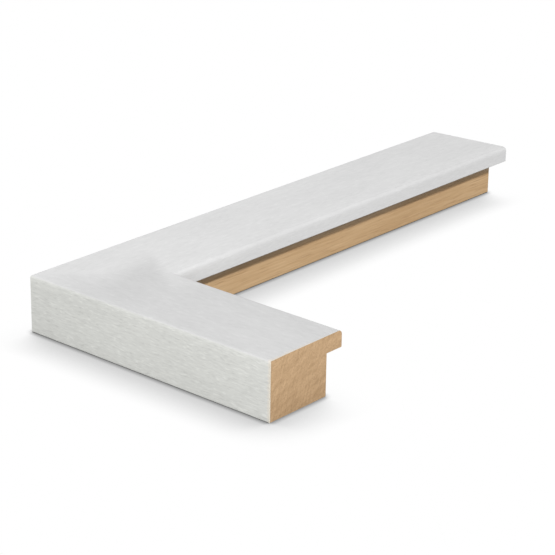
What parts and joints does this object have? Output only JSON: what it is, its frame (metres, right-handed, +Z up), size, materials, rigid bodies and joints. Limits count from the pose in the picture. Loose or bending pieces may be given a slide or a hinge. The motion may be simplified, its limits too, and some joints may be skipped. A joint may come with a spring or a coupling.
{
  "type": "picture frame moulding corner",
  "caption": "Mitred corner of flat picture frame moulding with a pale painted front, rounded sight edge and bare wood rebate for the glass, held by V-nails in the back.",
  "frame": {"origin": "middle of the corner's bounding box, on the plane of the back", "axes": "+Z up through the painted front, +X along the long leg away from the mitre, +Y from the short leg's square end towards the long leg's outer side"},
  "size_m": [0.1978, 0.0926, 0.018],
  "materials": {
    "painted_wood": "satin off-white coating over fine grain, with bare pale hardwood in the rebate, on the back and at the cut ends",
    "nail_steel": "plain cold-rolled strip"
  },
  "bodies": {
    "root": {"long_leg": "painted_wood", "short_leg": "painted_wood", "v_nail_outer": "nail_steel", "v_nail_inner": "nail_steel"}
  },
  "joints": []
}
